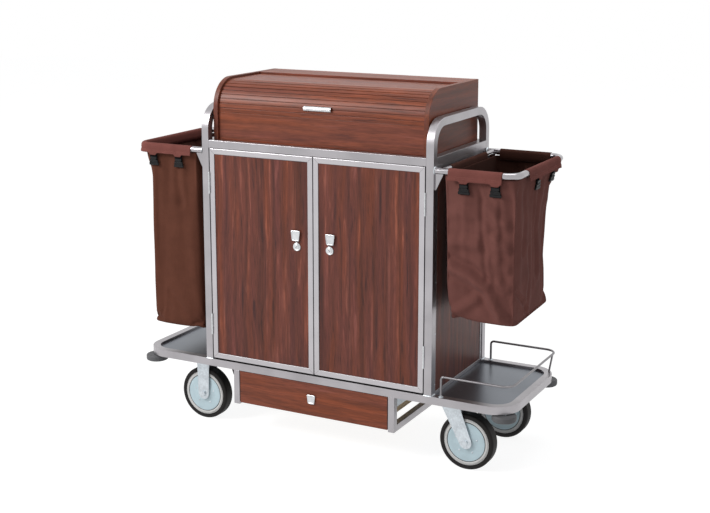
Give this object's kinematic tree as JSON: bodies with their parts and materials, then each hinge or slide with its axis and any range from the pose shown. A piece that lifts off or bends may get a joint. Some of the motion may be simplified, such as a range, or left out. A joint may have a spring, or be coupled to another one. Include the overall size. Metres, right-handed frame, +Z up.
{
  "type": "housekeeping trolley",
  "caption": "Housekeeping trolley: steel tube frame, wooden cabinet with doors, roll-top box, hanging drawer, hung laundry bags, tray with wire guard, corner bumpers and casters.",
  "frame": {"origin": "on the floor under the middle of the trolley", "axes": "+X along the trolley, to the right of someone who faces the doors; +Y from the doors to the back; +Z up"},
  "size_m": [1.5234, 0.4977, 1.308],
  "materials": {
    "frame_steel": "brushed stainless tube",
    "tray_steel": "rolled stainless sheet",
    "zinc": "bright zinc plate",
    "cabinet_wood": "dark red-brown laminate, upright grain",
    "box_wood": "dark red-brown laminate, grain along the box",
    "shelf_board": "dark red-brown laminate",
    "drawer_liner": "pale plywood",
    "chrome": "polished chrome plate",
    "tyre": "dark rubber tread",
    "wheel_plastic": "moulded light grey nylon",
    "bumper_rubber": "grey moulded rubber",
    "bag_cloth": "brown coated polyester cloth",
    "clip_plastic": "black moulded plastic"
  },
  "bodies": {
    "root": {"base_frame": "frame_steel", "base_tray": "tray_steel", "caster_bearers": "zinc", "left_end_frame": "frame_steel", "right_end_frame": "frame_steel", "deck_rails": "frame_steel", "deck_board": "shelf_board", "side_panels": "cabinet_wood", "side_panel_trims": "frame_steel", "back_panel": "cabinet_wood", "shelves": "shelf_board", "shelf_fittings": "zinc", "box_left_side": "box_wood", "box_right_side": "box_wood", "box_back": "box_wood", "box_top_board": "box_wood", "box_front_board": "box_wood", "drawer_cradle": "frame_steel", "drawer_runners": "zinc", "left_bag_holder": "frame_steel", "right_bag_holder": "frame_steel", "left_bag": "bag_cloth", "right_bag": "bag_cloth", "bag_clips": "clip_plastic", "guard_wire": "frame_steel", "bumper_mounts": "clip_plastic", "post_hinge_leaves": "frame_steel", "caster_plates": "zinc", "fixed_forks": "zinc", "fixed_axles": "zinc"},
    "left_door": {"left_door_frame": "frame_steel", "left_door_panel": "cabinet_wood", "left_door_pull": "chrome", "left_door_hinges": "frame_steel"},
    "left_lock": {"left_door_lock": "chrome"},
    "right_door": {"right_door_frame": "frame_steel", "right_door_panel": "cabinet_wood", "right_door_pull": "chrome", "right_door_hinges": "frame_steel"},
    "right_lock": {"right_door_lock": "chrome"},
    "drawer": {"drawer_front": "box_wood", "drawer_box": "drawer_liner", "drawer_pull": "chrome"},
    "shutter_bend": {"shutter_bend": "box_wood", "shutter_handle": "chrome"},
    "shutter_flat": {"shutter_flat": "box_wood"},
    "front_swivel": {"front_swivel_fork": "zinc"},
    "rear_swivel": {"rear_swivel_fork": "zinc"},
    "front_left_wheel": {"front_left_wheel": "wheel_plastic", "front_left_tyre": "tyre"},
    "rear_left_wheel": {"rear_left_wheel": "wheel_plastic", "rear_left_tyre": "tyre"},
    "front_right_wheel": {"front_right_wheel": "wheel_plastic", "front_right_tyre": "tyre"},
    "rear_right_wheel": {"rear_right_wheel": "wheel_plastic", "rear_right_tyre": "tyre"},
    "front_left_bumper": {"front_left_bumper": "bumper_rubber"},
    "rear_left_bumper": {"rear_left_bumper": "bumper_rubber"},
    "front_right_bumper": {"front_right_bumper": "bumper_rubber"},
    "rear_right_bumper": {"rear_right_bumper": "bumper_rubber"}
  },
  "joints": [
    {"name": "left_door_hinge", "type": "hinge", "parent": "root", "child": "left_door", "pos_m": [-0.43025, -0.24605, 0.66], "axis": [0, 0, -1], "range_deg": [0, 120]},
    {"name": "left_lock_turn", "type": "hinge", "parent": "left_door", "child": "left_lock", "pos_m": [-0.066, -0.23, 0.732], "axis": [0, -1, 0], "range_deg": [0, 90]},
    {"name": "right_door_hinge", "type": "hinge", "parent": "root", "child": "right_door", "pos_m": [0.43025, -0.24605, 0.66], "axis": [0, 0, 1], "range_deg": [0, 120]},
    {"name": "right_lock_turn", "type": "hinge", "parent": "right_door", "child": "right_lock", "pos_m": [0.066, -0.23, 0.732], "axis": [0, 1, 0], "range_deg": [0, 90]},
    {"name": "drawer_slide", "type": "slide", "parent": "root", "child": "drawer", "axis": [0, -1, 0], "range_m": [0, 0.3]},
    {"name": "shutter_roll", "type": "hinge", "parent": "root", "child": "shutter_bend", "pos_m": [0, -0.109, 1.204], "axis": [-1, 0, 0], "range_deg": [0, 66]},
    {"name": "shutter_slide", "type": "slide", "parent": "root", "child": "shutter_flat", "axis": [0, 1, 0], "range_m": [0, 0.111]},
    {"name": "front_swivel_turn", "type": "hinge", "parent": "root", "child": "front_swivel", "pos_m": [0.51, -0.168, 0.228], "axis": [0, 0, 1], "continuous": true},
    {"name": "rear_swivel_turn", "type": "hinge", "parent": "root", "child": "rear_swivel", "pos_m": [0.51, 0.168, 0.228], "axis": [0, 0, 1], "continuous": true},
    {"name": "front_left_wheel_spin", "type": "hinge", "parent": "root", "child": "front_left_wheel", "pos_m": [-0.51, -0.168, 0.1], "axis": [0, 1, 0], "continuous": true},
    {"name": "rear_left_wheel_spin", "type": "hinge", "parent": "root", "child": "rear_left_wheel", "pos_m": [-0.51, 0.168, 0.1], "axis": [0, 1, 0], "continuous": true},
    {"name": "front_right_wheel_spin", "type": "hinge", "parent": "front_swivel", "child": "front_right_wheel", "pos_m": [0.57, -0.168, 0.1], "axis": [0, 1, 0], "continuous": true},
    {"name": "rear_right_wheel_spin", "type": "hinge", "parent": "rear_swivel", "child": "rear_right_wheel", "pos_m": [0.57, 0.168, 0.1], "axis": [0, 1, 0], "continuous": true},
    {"name": "front_left_bumper_spin", "type": "hinge", "parent": "root", "child": "front_left_bumper", "pos_m": [-0.71374, -0.20674, 0.22], "axis": [0, 0, 1], "continuous": true},
    {"name": "rear_left_bumper_spin", "type": "hinge", "parent": "root", "child": "rear_left_bumper", "pos_m": [-0.71374, 0.20674, 0.22], "axis": [0, 0, 1], "continuous": true},
    {"name": "front_right_bumper_spin", "type": "hinge", "parent": "root", "child": "front_right_bumper", "pos_m": [0.71374, -0.20674, 0.22], "axis": [0, 0, 1], "continuous": true},
    {"name": "rear_right_bumper_spin", "type": "hinge", "parent": "root", "child": "rear_right_bumper", "pos_m": [0.71374, 0.20674, 0.22], "axis": [0, 0, 1], "continuous": true}
  ],
  "couplings": [
    {"joint": "shutter_slide", "follows": "shutter_roll", "m_per_rad": 0.096}
  ]
}
